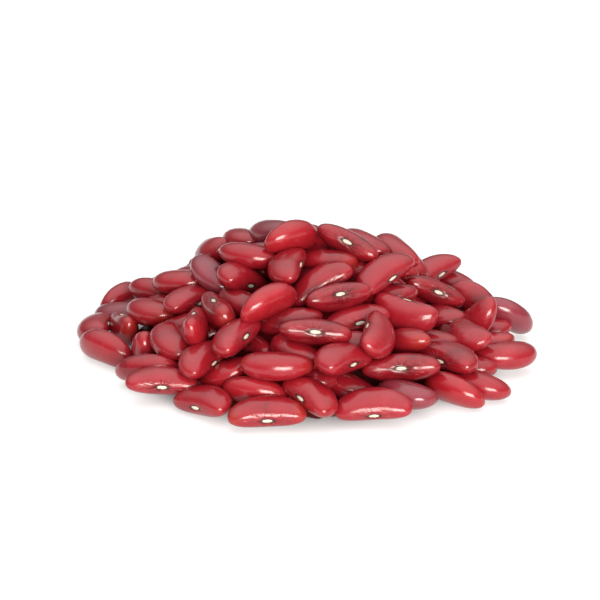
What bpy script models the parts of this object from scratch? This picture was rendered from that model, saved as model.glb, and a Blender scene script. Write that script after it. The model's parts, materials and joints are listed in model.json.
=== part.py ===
"""A poured heap of dried light red kidney beans on a bare surface, as one faceted solid."""

from typing import NamedTuple

import bmesh
import bpy
import numpy as np

# One bean, in metres: hilum to back, flat side to flat side, and how far its middle bows back
BEAN_WIDTH = 0.0081
BEAN_THICKNESS = 0.0062
BEAN_BOW = 0.0008
BEAN_LENGTH = 0.0172

# The heap: a rounded cone of beans, highest in the middle, on a flat surface at height zero
HEAP_HEIGHT = 0.033
HEAP_SLOPE = 0.59
CROWN_RADIUS = 0.008
BED_DEPTH = 0.0140
OUTER_DEPTH = 0.0022
INNER_DEPTH = 0.0052
LOWEST_MIDDLE = 0.0034
CORE_DEPTH = 0.0052
CORE_RADIUS = 0.0480
GROUND_CLEARANCE = 0.0001

# Where the heap is seen from: the beans' places below are read in a picture taken from here
VIEW_ELEVATION = np.radians(20.0)
VIEW_DISTANCE = 0.42
AIM_POINT = np.array([-0.0018, 0.0, 0.0129])
PICTURE_FOCAL = 1659.0
PICTURE_MIDDLE = 300.0

# Balls that stand for a bean when it is laid against others, a little inside its skin
BALL_SCALE = 0.88
BALL_STATIONS = np.array([-0.84, -0.56, -0.28, 0.0, 0.28, 0.56, 0.84])
END_BLUNTNESS = 2.5

# Rings of the faceted bean along its length, and its sides
RING_STATIONS = (-0.83, -0.32, 0.32, 0.83)
BEAN_SIDES = 6
FACET_SCALE = 1.10

CORE_RINGS = 5
CORE_SIDES = 28

# The beans' skin
BEAN_COLOUR = (0.42, 0.045, 0.055, 1.0)
BEAN_ROUGHNESS = 0.3

GOLDEN_ANGLE = np.pi * (3.0 - np.sqrt(5.0))
RANDOM_SEED = 7


class Seen(NamedTuple):
    """A bean in the picture: the pixel of its middle, the turn of its length from the
    picture's right, how far that end leans to the viewer, and where its hilum faces round
    its length from the viewer, in degrees, then its length, and how much deeper it lies than
    those on top, in metres."""
    x: float
    y: float
    along: float
    lean: float
    eye: float
    length: float
    deeper: float = 0.0


# Back to front, so that each bean comes to rest against those already there
SEEN_BEANS = (
    Seen(456, 288, -35, 25, 165, 0.0165),
    Seen(446, 281, -20, 30, 165, 0.0165),
    Seen(404, 265, -50, 45, 165, 0.0160, 0.0010),
    Seen(391, 254, -25, 66, 165, 0.0165),
    Seen(363, 247, -20, 50, 165, 0.0165),
    Seen(267, 237, 5, 52, 165, 0.0165),
    Seen(217, 257, 35, 66, 165, 0.0160, 0.0012),
    Seen(195, 275, 20, 38, 165, 0.0160),
    Seen(262, 252, 5, 20, -165, 0.0165),
    Seen(242, 243, 0, 80, 175, 0.0160, 0.0010),
    Seen(296, 238, 15, -36, -140, 0.0165),
    Seen(347, 245, -27, 8, 2, 0.0170),
    Seen(226, 262, 20, 35, 165, 0.0160, 0.0020),
    Seen(325, 262, -3, 30, 170, 0.0165, 0.0025),
    Seen(395, 262, -35, 40, 165, 0.0160, 0.0020),
    Seen(180, 282, 3, 32, 170, 0.0165),
    Seen(213, 281, -40, 38, 140, 0.0165),
    Seen(249, 256, -5, 22, 172, 0.0165),
    Seen(285, 267, 74, -52, -60, 0.0170, 0.0012),
    Seen(125, 302, 28, -38, -150, 0.0165),
    Seen(155, 293, -5, 28, -160, 0.0165),
    Seen(121, 315, 10, 40, 165, 0.0160, 0.0010),
    Seen(161, 306, 10, 45, 165, 0.0160, 0.0030),
    Seen(190, 298, 30, -35, -32, 0.0172, 0.0012),
    Seen(240, 279, -3, -52, -30, 0.0170),
    Seen(237, 304, -30, 40, 160, 0.0160, 0.0020),
    Seen(349, 275, 35, 46, -150, 0.0160, 0.0050),
    Seen(319, 282, 33, -8, -35, 0.0172),
    Seen(270, 301, 25, -40, -140, 0.0172),
    Seen(379, 272, 35, -38, -42, 0.0172),
    Seen(431, 272, 21, -44, -30, 0.0168),
    Seen(444, 292, -32, 22, 160, 0.0172, 0.0020),
    Seen(432, 291, -27, -14, 5, 0.0168),
    Seen(383, 297, 5, 20, 170, 0.0165, 0.0025),
    Seen(337, 299, 20, -22, 5, 0.0170),
    Seen(506, 318, -35, -40, -150, 0.0165),
    Seen(479, 309, -55, 10, -100, 0.0172, 0.0010),
    Seen(479, 333, 20, 35, 165, 0.0160, 0.0040),
    Seen(475, 323, 48, 46, 140, 0.0165),
    Seen(150, 312, -12, 56, 155, 0.0168),
    Seen(95, 328, 55, -74, -35, 0.0165),
    Seen(124, 330, -35, 72, 45, 0.0165),
    Seen(178, 326, 10, 40, 165, 0.0165, 0.0030),
    Seen(223, 314, -72, 66, -5, 0.0160, 0.0008),
    Seen(197, 329, 62, -70, 35, 0.0165),
    Seen(287, 322, 8, 25, 170, 0.0168, 0.0015),
    Seen(354, 319, 14, -20, -20, 0.0168, 0.0020),
    Seen(439, 317, -20, 50, 140, 0.0165, 0.0020),
    Seen(404, 316, -18, 18, 76, 0.0168),
    Seen(482, 347, 10, 30, 165, 0.0160, 0.0030),
    Seen(428, 342, -5, 44, 165, 0.0165, 0.0050),
    Seen(407, 341, 0, 80, 178, 0.0160, 0.0020),
    Seen(143, 352, 75, 78, 165, 0.0160, 0.0065),
    Seen(168, 343, -45, 55, 130, 0.0172),
    Seen(257, 348, -10, 45, 20, 0.0165, 0.0030),
    Seen(231, 333, 52, -45, -38, 0.0172),
    Seen(315, 335, -5, -2, 2, 0.0172),
    Seen(376, 339, 65, -55, 62, 0.0175),
    Seen(463, 336, -35, 64, 120, 0.0172),
    Seen(506, 355, 8, -28, 155, 0.0165),
    Seen(107, 348, -22, 32, -140, 0.0172),
    Seen(318, 357, 30, 45, 165, 0.0160, 0.0050),
    Seen(295, 353, -35, 38, 150, 0.0165, 0.0008),
    Seen(340, 357, 25, -53, -42, 0.0172, 0.0015),
    Seen(451, 358, -20, 38, -27, 0.0172),
    Seen(466, 366, -10, 44, 165, 0.0160, 0.0030),
    Seen(148, 367, 5, 15, -155, 0.0168),
    Seen(200, 358, 35, -48, -46, 0.0172),
    Seen(306, 378, 0, 50, 165, 0.0160, 0.0045),
    Seen(276, 367, -3, 5, 165, 0.0172),
    Seen(401, 367, 1, 0, -4, 0.0186),
    Seen(476, 384, -20, 27, 170, 0.0165),
    Seen(220, 377, 25, 35, 160, 0.0165, 0.0025),
    Seen(340, 386, -12, 35, 170, 0.0160, 0.0020),
    Seen(162, 380, 0, 0, -24, 0.0172),
    Seen(403, 394, -12, 32, 165, 0.0165, 0.0010),
    Seen(257, 391, -6, 10, -155, 0.0165),
    Seen(452, 389, -18, 36, -160, 0.0165),
    Seen(206, 401, -8, 42, -32, 0.0165),
    Seen(314, 396, -40, 46, -38, 0.0168, 0.0008),
    Seen(267, 411, 3, 0, -35, 0.0180),
    Seen(373, 404, 4, 0, -45, 0.0178),
)

# How beans that overlap are eased apart
EASING_TURNS = 240
EASING_GAIN = 1.3
EASING_HOLD = 0.20
SETTLING = 0.0001
TURNING_INERTIA = 0.000018

# Beans that the picture hides close the sides and the back, wherever a trial one finds room
HIDDEN_TRIALS = 900
HIDDEN_RADIUS = 0.0535
HIDDEN_DEPTH = 0.0036
HIDDEN_OVERLAP = 0.0020
SIGHT_STEPS = np.arange(0.012, 0.12, 0.001)


class Pose(NamedTuple):
    """A bean's middle, its length's direction, its hilum's direction, and its length."""
    middle: np.ndarray
    axis: np.ndarray
    hilum: np.ndarray
    length: float


def unit(vector):
    return vector / np.linalg.norm(vector)


def mound_height(distance, depth):
    """Height of the heap's surface at a distance from its middle, less a depth of beans."""
    rounded = np.hypot(distance, CROWN_RADIUS) - CROWN_RADIUS
    return HEAP_HEIGHT - depth * np.hypot(1.0, HEAP_SLOPE) - HEAP_SLOPE * rounded


def end_taper(stations):
    """How full a bean is at stations from -1 to 1 of its length."""
    return (1.0 - np.abs(stations) ** END_BLUNTNESS) ** (1.0 / END_BLUNTNESS)


def bow(stations):
    """How far the bean's bent middle line stands towards its hilum side."""
    return BEAN_BOW * (2.2 * stations ** 2 - 0.2)


def contact_balls(pose):
    """Two rows of balls inside a bean, side by side across its width, and their radii."""
    taper = end_taper(BALL_STATIONS) * BALL_SCALE
    radii = taper * BEAN_THICKNESS / 2
    along = BALL_STATIONS * pose.length / 2 * 0.97
    rows = []
    for side in (-1.0, 1.0):
        across = bow(BALL_STATIONS) + side * taper * (BEAN_WIDTH - BEAN_THICKNESS) / 2
        rows.append(pose.middle + along[:, None] * pose.axis + across[:, None] * pose.hilum)
    return np.concatenate(rows), np.tile(radii, 2)


def travel_to_laid(balls, radii, direction, laid_balls, laid_radii):
    """How far balls move along a direction before one of them touches a ball of a laid bean."""
    offset = laid_balls[None, :, :] - balls[:, None, :]
    ahead = offset @ direction
    beside = np.einsum("ijk,ijk->ij", offset, offset) - ahead ** 2
    reach = (radii[:, None] + laid_radii[None, :]) ** 2
    meets = (beside < reach) & (ahead > 0.0)
    travel = np.where(meets, ahead - np.sqrt(np.maximum(reach - beside, 0.0)), np.inf)
    return float(travel.min(initial=np.inf))


def travel_to_shell(point, direction, depth):
    """How far a point moves to a shell that lies a depth under the heap's surface, or to its
    nearest approach where its way passes over the heap."""
    steps = np.arange(0.0, VIEW_DISTANCE, 0.0001)
    way = point + steps[:, None] * direction
    distance = np.hypot(way[:, 0], way[:, 1])
    gap = way[:, 2] - np.maximum(mound_height(distance, depth), LOWEST_MIDDLE)
    stops = (gap[:-1] <= 0.0) | (np.diff(gap) > 0.0)
    return float(steps[np.argmax(stops)])


class Heap:
    """The beans laid so far, and the balls that stand for them."""

    def __init__(self):
        self.poses = []
        self.balls = np.zeros((0, 3))
        self.radii = np.zeros(0)

    def keep(self, pose):
        balls, radii = contact_balls(pose)
        self.poses.append(pose)
        self.balls = np.concatenate((self.balls, balls))
        self.radii = np.concatenate((self.radii, radii))


VIEW_ALONG = np.array([0.0, np.cos(VIEW_ELEVATION), -np.sin(VIEW_ELEVATION)])
VIEW_RIGHT = np.array([1.0, 0.0, 0.0])
VIEW_UP = np.cross(VIEW_RIGHT, VIEW_ALONG)
EYE_POINT = AIM_POINT - VIEW_DISTANCE * VIEW_ALONG


def sight_line(x, y):
    """Direction from the eye point through a pixel of the picture."""
    right = (x - PICTURE_MIDDLE) / PICTURE_FOCAL
    up = (PICTURE_MIDDLE - y) / PICTURE_FOCAL
    return unit(VIEW_ALONG + right * VIEW_RIGHT + up * VIEW_UP)


def seen_pose(seen):
    """A seen bean's pose, still near the eye point on its line of sight."""
    sight = sight_line(seen.x, seen.y)
    toward = -sight
    right = unit(np.cross(VIEW_UP, toward))
    up = np.cross(toward, right)
    along, lean, eye = np.radians([seen.along, seen.lean, seen.eye])
    flat = np.cos(along) * right + np.sin(along) * up
    side = np.cos(along) * up - np.sin(along) * right
    axis = np.cos(lean) * flat + np.sin(lean) * toward
    facing = np.cos(lean) * toward - np.sin(lean) * flat
    hilum = np.cos(eye) * facing + np.sin(eye) * side
    return Pose(EYE_POINT + 0.7 * VIEW_DISTANCE * sight, axis, hilum, seen.length), sight


def seen_heap():
    """The seen beans, each between the heap's outer and inner shell on its line of sight,
    and as far back there as the beans behind it allow."""
    heap = Heap()
    for seen in SEEN_BEANS:
        pose, sight = seen_pose(seen)
        balls, radii = contact_balls(pose)
        outer = travel_to_shell(pose.middle, sight, OUTER_DEPTH + seen.deeper)
        inner = travel_to_shell(pose.middle, sight, INNER_DEPTH + seen.deeper)
        touch = travel_to_laid(balls, radii, sight, heap.balls, heap.radii)
        travel = min(max(touch, outer), inner)
        heap.keep(pose._replace(middle=pose.middle + travel * sight))
    return heap


def near_pairs(middles):
    first, second = np.triu_indices(len(middles), 1)
    apart = np.linalg.norm(middles[first] - middles[second], axis=1)
    near = apart < 1.15 * BEAN_LENGTH
    return first[near], second[near]


def bean_contacts(middles, balls, radii, pairs):
    """Overlaps of beans with each other: the bean, the arm from its middle to the touching
    ball, the way out, and how far out it is to go."""
    first, second = pairs
    gap = balls[second][:, None, :, :] - balls[first][:, :, None, :]
    apart = np.sqrt(np.einsum("pijk,pijk->pij", gap, gap))
    overlap = radii[first][:, :, None] + radii[second][:, None, :] - apart
    pair, ball_a, ball_b = np.nonzero(overlap > 0.0)
    way = gap[pair, ball_a, ball_b] / apart[pair, ball_a, ball_b][:, None]
    depth = overlap[pair, ball_a, ball_b] / 2
    bean_a, bean_b = first[pair], second[pair]
    bean = np.concatenate((bean_a, bean_b))
    touching = np.concatenate((balls[bean_a, ball_a], balls[bean_b, ball_b]))
    return bean, touching - middles[bean], np.concatenate((-way, way)), np.tile(depth, 2)


def support_contacts(middles, balls, radii):
    """Overlaps of beans with the bed under them and with the ground, in the same terms."""
    distance = np.hypot(balls[:, :, 0], balls[:, :, 1])
    slope = HEAP_SLOPE * distance / np.hypot(distance, CROWN_RADIUS)
    steep = np.hypot(1.0, slope)
    into_bed = radii - (balls[:, :, 2] - mound_height(distance, BED_DEPTH)) / steep
    into_ground = radii / BALL_SCALE + GROUND_CLEARANCE - balls[:, :, 2]
    bean, ball = np.nonzero(into_bed > 0.0)
    outward = balls[bean, ball, :2] / np.maximum(distance[bean, ball], GROUND_CLEARANCE)[:, None]
    bed_way = np.column_stack((outward * slope[bean, ball][:, None], np.ones(len(bean))))
    bed_way /= steep[bean, ball][:, None]
    ground_bean, ground_ball = np.nonzero(into_ground > 0.0)
    ground_way = np.tile([0.0, 0.0, 1.0], (len(ground_bean), 1))
    depth = np.concatenate((into_bed[bean, ball], into_ground[ground_bean, ground_ball]))
    bean = np.concatenate((bean, ground_bean))
    touching = balls[bean, np.concatenate((ball, ground_ball))]
    return bean, touching - middles[bean], np.concatenate((bed_way, ground_way)), depth


def ease_apart(lines):
    """Moves and turns overlapping beans apart a little at a time, and draws each back to its
    line and towards the way it lay. A line is a bean's pose, and the way it may slide."""
    poses = [pose for pose, _ in lines]
    ways = np.array([way for _, way in lines])
    starts = np.array([pose.middle for pose in poses])
    middles = starts.copy()
    frames = np.array([[pose.axis, pose.hilum, np.cross(pose.axis, pose.hilum)] for pose in poses])
    drawn_frames = frames.copy()
    radii = np.array([contact_balls(pose)[1] for pose in poses])
    local = np.array([(contact_balls(pose)[0] - pose.middle) @ frame.T
                      for pose, frame in zip(poses, frames)])
    for turn in range(EASING_TURNS):
        if turn % 10 == 0:
            pairs = near_pairs(middles)
        balls = middles[:, None, :] + np.einsum("nbi,nij->nbj", local, frames)
        found = zip(bean_contacts(middles, balls, radii, pairs), support_contacts(middles, balls, radii))
        bean, arm, way, depth = [np.concatenate(both) for both in found]
        lever = np.cross(arm, way)
        push = depth / (1.0 + np.einsum("ij,ij->i", lever, lever) / TURNING_INERTIA)
        shift = np.zeros_like(middles)
        spin = np.zeros_like(middles)
        np.add.at(shift, bean, push[:, None] * way)
        np.add.at(spin, bean, push[:, None] * lever / TURNING_INERTIA)
        share = EASING_GAIN / np.maximum(np.bincount(bean, minlength=len(poses)), 1)
        hold = EASING_HOLD * max(0.0, 1.0 - turn / (0.8 * EASING_TURNS))
        middles += share[:, None] * shift
        slid = np.einsum("ij,ij->i", middles - starts, ways)
        middles += hold * (starts + slid[:, None] * ways - middles) + SETTLING * hold * ways
        frames = frames + np.cross((share[:, None] * spin)[:, None, :], frames)
        frames += hold * (drawn_frames - frames)
        frames[:, 0] /= np.linalg.norm(frames[:, 0], axis=1)[:, None]
        frames[:, 1] -= np.einsum("ij,ij->i", frames[:, 0], frames[:, 1])[:, None] * frames[:, 0]
        frames[:, 1] /= np.linalg.norm(frames[:, 1], axis=1)[:, None]
        frames[:, 2] = np.cross(frames[:, 0], frames[:, 1])
    return [Pose(middle, frame[0], frame[1], pose.length)
            for middle, frame, pose in zip(middles, frames, poses)]


def resting_pose(draw, turn, radius):
    """A bean that lies about as flat as the slope below it, its heading drawn, and the way
    it may slide: down the slope, or inwards where it lies on the ground."""
    height = max(mound_height(radius, HIDDEN_DEPTH), LOWEST_MIDDLE)
    tilt = HEAP_SLOPE * radius / np.hypot(radius, CROWN_RADIUS)
    tilt *= 1.0 if height > LOWEST_MIDDLE else 0.2
    outward = np.array([np.cos(turn), np.sin(turn), 0.0])
    slope_up = np.array([0.0, 0.0, 1.0]) + tilt * outward
    normal = unit(unit(slope_up) + draw.normal(0.0, 0.16, 3))
    heading = draw.uniform(0.0, 2.0 * np.pi)
    level = np.array([np.cos(heading), np.sin(heading), 0.0])
    axis = unit(level - (level @ normal) * normal)
    roll = draw.normal(0.0, 0.35)
    hilum = np.cos(roll) * np.cross(normal, axis) + np.sin(roll) * normal
    middle = radius * outward + np.array([0.0, 0.0, height])
    sliding = unit(outward - np.array([0.0, 0.0, tilt])) if height > LOWEST_MIDDLE else -outward
    return Pose(middle, axis, hilum, BEAN_LENGTH * draw.uniform(0.92, 1.02)), sliding


def has_room(pose, heap):
    """Whether a bean overlaps the laid ones by no more than easing apart can clear."""
    balls, radii = contact_balls(pose)
    apart = np.linalg.norm(heap.balls[None, :, :] - balls[:, None, :], axis=2)
    return (radii[:, None] + heap.radii[None, :] - apart).max() < HIDDEN_OVERLAP


def is_hidden(pose, seen):
    """Whether the heap or the seen beans hide a bean from the eye point."""
    balls, radii = contact_balls(pose)
    for point in balls + 0.6 * radii[:, None] * np.array([0.0, 0.0, 1.0]):
        sight = unit(EYE_POINT - point)
        way = point + SIGHT_STEPS[:, None] * sight
        inside = way[:, 2] < mound_height(np.hypot(way[:, 0], way[:, 1]), OUTER_DEPTH)
        offset = seen.balls - point
        ahead = offset @ sight
        beside = np.einsum("ij,ij->i", offset, offset) - ahead ** 2
        blocked = (ahead > 0.0) & (beside < (1.2 * seen.radii) ** 2)
        if not inside.any() and not blocked.any():
            return False
    return True


def hidden_lines(seen):
    """Beans where the seen ones hide them, in a spiral from the top, and how they may slide."""
    draw = np.random.default_rng(RANDOM_SEED)
    heap = Heap()
    for pose in seen.poses:
        heap.keep(pose)
    lines = []
    for trial in range(HIDDEN_TRIALS):
        radius = HIDDEN_RADIUS * np.sqrt((trial + 0.5) / HIDDEN_TRIALS)
        pose, sliding = resting_pose(draw, trial * GOLDEN_ANGLE, radius)
        if has_room(pose, heap) and is_hidden(pose, seen):
            heap.keep(pose)
            lines.append((pose, sliding))
    return lines


def laid_beans():
    """All the beans that the heap shows from any side, the seen ones first, without those
    that easing apart brings into view."""
    seen = seen_heap()
    lines = [(pose, sight_line(bean.x, bean.y)) for pose, bean in zip(seen.poses, SEEN_BEANS)]
    poses = ease_apart(lines + hidden_lines(seen))
    eased_seen = Heap()
    for pose in poses[:len(lines)]:
        eased_seen.keep(pose)
    return eased_seen.poses + [pose for pose in poses[len(lines):] if is_hidden(pose, eased_seen)]


def bean_mesh(pose):
    """One bean as rings of flat facets that close at its two tips."""
    normal = np.cross(pose.axis, pose.hilum)
    turns = np.arange(BEAN_SIDES) * 2.0 * np.pi / BEAN_SIDES
    points = []
    for station in RING_STATIONS:
        taper = FACET_SCALE * end_taper(station)
        centre = pose.middle + station * pose.length / 2 * pose.axis + bow(station) * pose.hilum
        across = taper * BEAN_WIDTH / 2 * np.cos(turns)
        through = taper * BEAN_THICKNESS / 2 * np.sin(turns)
        points.extend(centre + across[:, None] * pose.hilum + through[:, None] * normal)
    for station in (-1.0, 1.0):
        tip = station * pose.length / 2 * pose.axis + bow(0.93) * pose.hilum
        points.append(pose.middle + tip)
    points = [np.maximum(point, [-np.inf, -np.inf, GROUND_CLEARANCE]) for point in points]
    faces = []
    last_ring = (len(RING_STATIONS) - 1) * BEAN_SIDES
    for side in range(BEAN_SIDES):
        beside = (side + 1) % BEAN_SIDES
        for ring in range(0, last_ring, BEAN_SIDES):
            faces.append((ring + side, ring + beside, ring + BEAN_SIDES + beside, ring + BEAN_SIDES + side))
        faces.append((len(points) - 2, beside, side))
        faces.append((len(points) - 1, last_ring + side, last_ring + beside))
    return points, faces


def add_object(name, points, faces, collection):
    mesh = bpy.data.meshes.new(name)
    mesh.from_pydata([tuple(point) for point in points], [], faces)
    shape = bmesh.new()
    shape.from_mesh(mesh)
    bmesh.ops.recalc_face_normals(shape, faces=shape.faces)
    bmesh.ops.triangulate(shape, faces=shape.faces)
    shape.to_mesh(mesh)
    shape.free()
    item = bpy.data.objects.new(name, mesh)
    collection.objects.link(item)
    return item


def core_mesh():
    """The solid middle of the heap, turned: flat below, as high as the middle of the beans."""
    points = []
    faces = []
    radii = [CORE_RADIUS * step / CORE_RINGS for step in range(CORE_RINGS, 0, -1)]
    for radius, height in [(CORE_RADIUS, 0.0)] + [(r, mound_height(r, CORE_DEPTH)) for r in radii]:
        for side in range(CORE_SIDES):
            turn = 2.0 * np.pi * side / CORE_SIDES
            points.append((radius * np.cos(turn), radius * np.sin(turn), height))
    for ring in range(CORE_RINGS):
        for side in range(CORE_SIDES):
            beside = (side + 1) % CORE_SIDES
            low = ring * CORE_SIDES
            faces.append((low + side, low + beside, low + CORE_SIDES + beside, low + CORE_SIDES + side))
    points.append((0.0, 0.0, mound_height(0.0, CORE_DEPTH)))
    top_ring = CORE_RINGS * CORE_SIDES
    for side in range(CORE_SIDES):
        faces.append((top_ring + side, top_ring + (side + 1) % CORE_SIDES, len(points) - 1))
    faces.append(tuple(range(CORE_SIDES))[::-1])
    return points, faces


def bean_material():
    material = bpy.data.materials.new("dried_bean_skin")
    material.use_nodes = True
    shader = material.node_tree.nodes["Principled BSDF"]
    shader.inputs["Base Color"].default_value = BEAN_COLOUR
    shader.inputs["Roughness"].default_value = BEAN_ROUGHNESS
    shader.inputs["Metallic"].default_value = 0.0
    return material


def keep_largest_piece(item):
    """Drops loose scraps, and closes sealed hollows by dropping their walls."""
    shape = bmesh.new()
    shape.from_mesh(item.data)
    unvisited = set(shape.verts)
    pieces = []
    while unvisited:
        front = [unvisited.pop()]
        piece = set(front)
        while front:
            for edge in front.pop().link_edges:
                for vert in edge.verts:
                    if vert not in piece:
                        piece.add(vert)
                        front.append(vert)
        unvisited -= piece
        pieces.append(piece)
    pieces.sort(key=len)
    for piece in pieces[:-1]:
        bmesh.ops.delete(shape, geom=list(piece), context="VERTS")
    bmesh.ops.triangulate(shape, faces=shape.faces)
    shape.to_mesh(item.data)
    shape.free()


def fused_heap(scene_collection):
    """The core and every bean as one solid, and the beans' own objects gone."""
    beans = bpy.data.collections.new("beans")
    scene_collection.children.link(beans)
    for index, pose in enumerate(laid_beans()):
        add_object(f"bean_{index:03d}", *bean_mesh(pose), beans)
    heap = add_object("bean_heap", *core_mesh(), scene_collection)
    union = heap.modifiers.new("fuse beans", "BOOLEAN")
    union.operation = "UNION"
    union.operand_type = "COLLECTION"
    union.collection = beans
    union.solver = "MANIFOLD"
    fused = bpy.data.meshes.new_from_object(heap.evaluated_get(bpy.context.evaluated_depsgraph_get()))
    heap.modifiers.clear()
    heap.data = fused
    for bean in list(beans.objects):
        bpy.data.objects.remove(bean)
    bpy.data.collections.remove(beans)
    return heap


def main():
    for item in list(bpy.data.objects):
        bpy.data.objects.remove(item)
    heap = fused_heap(bpy.context.scene.collection)
    keep_largest_piece(heap)
    heap.data.materials.clear()
    heap.data.materials.append(bean_material())


main()
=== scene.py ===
"""The looks of the heap of dried kidney beans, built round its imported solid."""

import json
from typing import NamedTuple

import bpy
import numpy as np
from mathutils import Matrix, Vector

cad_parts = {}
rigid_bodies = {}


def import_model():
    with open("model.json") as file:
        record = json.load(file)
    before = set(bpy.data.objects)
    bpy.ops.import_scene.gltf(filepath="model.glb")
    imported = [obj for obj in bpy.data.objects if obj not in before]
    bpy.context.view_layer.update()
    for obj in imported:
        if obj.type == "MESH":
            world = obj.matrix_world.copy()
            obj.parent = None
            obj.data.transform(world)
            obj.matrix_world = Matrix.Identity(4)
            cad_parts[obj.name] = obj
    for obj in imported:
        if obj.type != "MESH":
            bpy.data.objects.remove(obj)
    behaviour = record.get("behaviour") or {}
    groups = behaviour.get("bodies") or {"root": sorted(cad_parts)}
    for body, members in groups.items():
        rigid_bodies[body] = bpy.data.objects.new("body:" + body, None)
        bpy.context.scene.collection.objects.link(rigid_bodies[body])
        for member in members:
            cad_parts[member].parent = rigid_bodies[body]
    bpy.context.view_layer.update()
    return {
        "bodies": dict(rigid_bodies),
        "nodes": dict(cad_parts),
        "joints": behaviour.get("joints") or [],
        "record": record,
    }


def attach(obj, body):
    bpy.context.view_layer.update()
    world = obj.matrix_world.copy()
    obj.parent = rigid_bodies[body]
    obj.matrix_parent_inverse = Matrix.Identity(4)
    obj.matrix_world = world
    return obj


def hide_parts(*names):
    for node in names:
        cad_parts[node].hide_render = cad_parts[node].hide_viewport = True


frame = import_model()

# One bean, in metres: hilum to back, flat side to flat side, and how far its middle bows back
BEAN_WIDTH = 0.0081
BEAN_THICKNESS = 0.0062
BEAN_BOW = 0.0008
BOW_CURVE = 2.2
BOW_OFFSET = 0.2
BEAN_LENGTH = 0.0172

# The heap: a rounded cone of beans, highest in the middle, on a flat surface at height zero
HEAP_HEIGHT = 0.033
HEAP_SLOPE = 0.59
CROWN_RADIUS = 0.008
BED_DEPTH = 0.0140
OUTER_DEPTH = 0.0022
INNER_DEPTH = 0.0052
LOWEST_MIDDLE = 0.0034
CORE_DEPTH = 0.0150
CORE_RADIUS = 0.0440
GROUND_CLEARANCE = 0.0001

# Where the heap is seen from: the beans' places below are read in a picture taken from here
VIEW_ELEVATION = np.radians(20.0)
VIEW_DISTANCE = 0.42
AIM_POINT = np.array([-0.0018, 0.0, 0.0129])
PICTURE_FOCAL = 1659.0
PICTURE_MIDDLE = 300.0

# Balls that stand for a bean when it is laid against others, a little inside its skin
BALL_SCALE = 0.88
BALL_REACH = 0.97
BALL_STATIONS = np.array([-0.84, -0.56, -0.28, 0.0, 0.28, 0.56, 0.84])
END_BLUNTNESS = 2.5

# Where a bean starts on its line of sight, as a share of the way, and the step it moves by
SIGHT_START = 0.7
SHELL_STEP = 0.0001

GOLDEN_ANGLE = np.pi * (3.0 - np.sqrt(5.0))
RANDOM_SEED = 7


class Seen(NamedTuple):
    """A bean in the picture: the pixel of its middle, the turn of its length from the
    picture's right, how far that end leans to the viewer, and where its hilum faces round
    its length from the viewer, in degrees, then its length, and how much deeper it lies than
    those on top, in metres."""
    x: float
    y: float
    along: float
    lean: float
    eye: float
    length: float
    deeper: float = 0.0


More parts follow.
